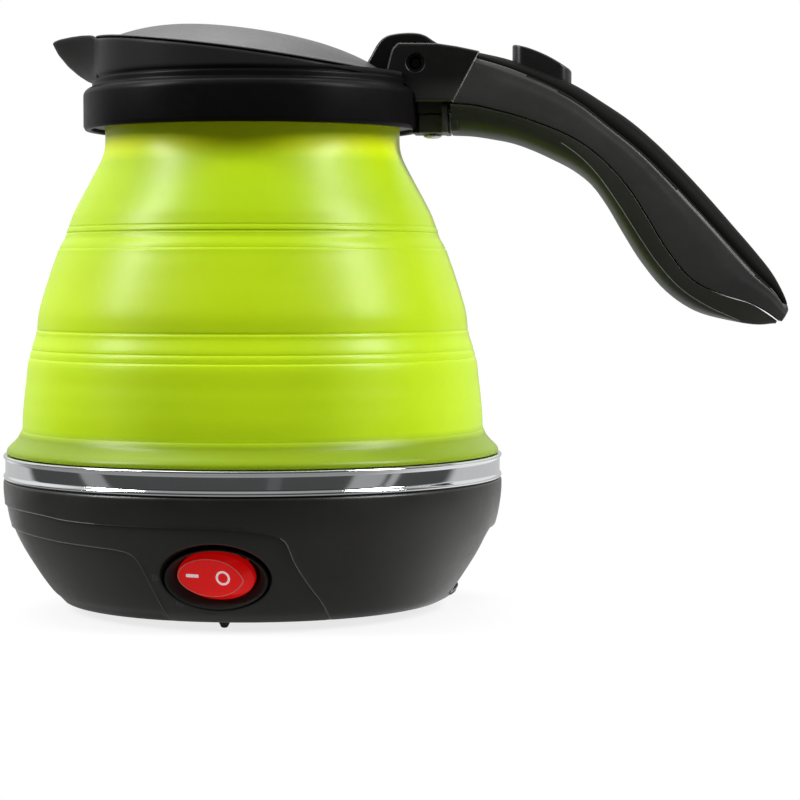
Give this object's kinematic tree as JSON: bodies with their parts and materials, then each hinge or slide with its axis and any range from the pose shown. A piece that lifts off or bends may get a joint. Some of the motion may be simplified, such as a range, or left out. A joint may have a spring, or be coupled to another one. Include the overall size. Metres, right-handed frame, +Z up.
{
  "type": "collapsible kettle",
  "caption": "Collapsible travel kettle: black base with rocker switch, steel heating pan, folding silicone body, collar with spout, sprung lid and curved handle.",
  "frame": {"origin": "centre of the base plate's underside, on the kettle's upright axis; the feet reach 2.4 mm lower", "axes": "+Z up, +X along the handle, -X along the spout, the rocker switch faces -Y"},
  "size_m": [0.2353, 0.15, 0.1746],
  "materials": {
    "casing": "satin black moulded plastic",
    "black": "satin black moulded plastic, fine grain",
    "handle": "satin black moulded plastic",
    "silicone": "lime green silicone, satin, slightly translucent",
    "steel": "polished",
    "rocker": "glossy translucent red",
    "bezel": "satin",
    "foot_rubber": "matte",
    "brass": "nickel-brass",
    "aluminium": "as cast",
    "ceramic": "glazed ceramic",
    "glass": "neon lamp",
    "seal": "matte",
    "lead": "insulated wire"
  },
  "bodies": {
    "base": {"base_casing": "casing", "base_plate": "casing", "foot_front": "foot_rubber", "foot_right": "foot_rubber", "foot_back": "foot_rubber", "foot_left": "foot_rubber", "plate_screw_1": "steel", "plate_screw_2": "steel", "plate_screw_3": "steel", "plate_screw_4": "steel", "heating_pan": "steel", "pan_gasket": "seal", "silicone_clamp_ring": "steel", "silicone_lower_tier": "silicone", "silicone_mid_tier": "silicone", "heat_spreader": "aluminium", "heating_element": "steel", "thermostat": "ceramic", "thermal_fuse": "ceramic", "power_inlet": "casing", "inlet_pin_live": "brass", "inlet_pin_neutral": "brass", "inlet_pin_earth": "brass", "switch_housing": "bezel", "switch_terminal_1": "brass", "switch_terminal_2": "brass", "switch_terminal_3": "brass", "switch_lamp": "glass", "lead_live": "lead", "lead_switched": "lead", "lead_fuse": "lead", "lead_element": "lead", "lead_neutral": "lead", "lead_earth": "lead"},
    "head": {"silicone_upper_tier": "silicone", "collar": "black", "neck_clamp_ring": "black", "spout_filter": "steel", "handle_upper_shell": "handle", "handle_lower_shell": "handle", "handle_top_insert": "handle", "handle_screw_1": "steel", "handle_screw_2": "steel", "bracket_screw": "steel", "lid_hinge_pin": "steel", "lid_spring": "steel", "latch_pin": "steel", "latch_spring": "steel"},
    "lid": {"lid_cover": "black", "lid_inner_plate": "black", "lid_seal": "seal", "lid_screw_1": "steel", "lid_screw_2": "steel", "lid_screw_3": "steel"},
    "button": {"lid_release_button": "handle"},
    "latch": {"latch_lever": "steel"},
    "rocker": {"switch_rocker": "rocker"}
  },
  "joints": [
    {"name": "collapse", "type": "slide", "parent": "base", "child": "head", "axis": [0, 0, 1], "range_m": [-0.06, 0], "deforming": ["silicone_mid_tier"]},
    {"name": "lid_hinge", "type": "hinge", "parent": "head", "child": "lid", "pos_m": [0.0499, 0, 0.1597], "axis": [0, 1, 0], "range_deg": [0, 85]},
    {"name": "lid_button", "type": "slide", "parent": "head", "child": "button", "axis": [0, 0, -1], "range_m": [0, 0.0025], "stiffness_N_per_m": 400, "springref_m": -0.002},
    {"name": "latch_pivot", "type": "hinge", "parent": "head", "child": "latch", "pos_m": [0.072, 0, 0.1525], "axis": [0, 1, 0], "range_deg": [0, 9.2], "deforming": ["latch_spring"]},
    {"name": "switch_tip", "type": "hinge", "parent": "base", "child": "rocker", "pos_m": [-0.0012, -0.06103, 0.01452], "axis": [0, -0.309, 0.9511], "range_deg": [0, 16]}
  ],
  "couplings": [
    {"joint": "latch_pivot", "follows": "lid_button", "rad_per_m": 62.8}
  ]
}
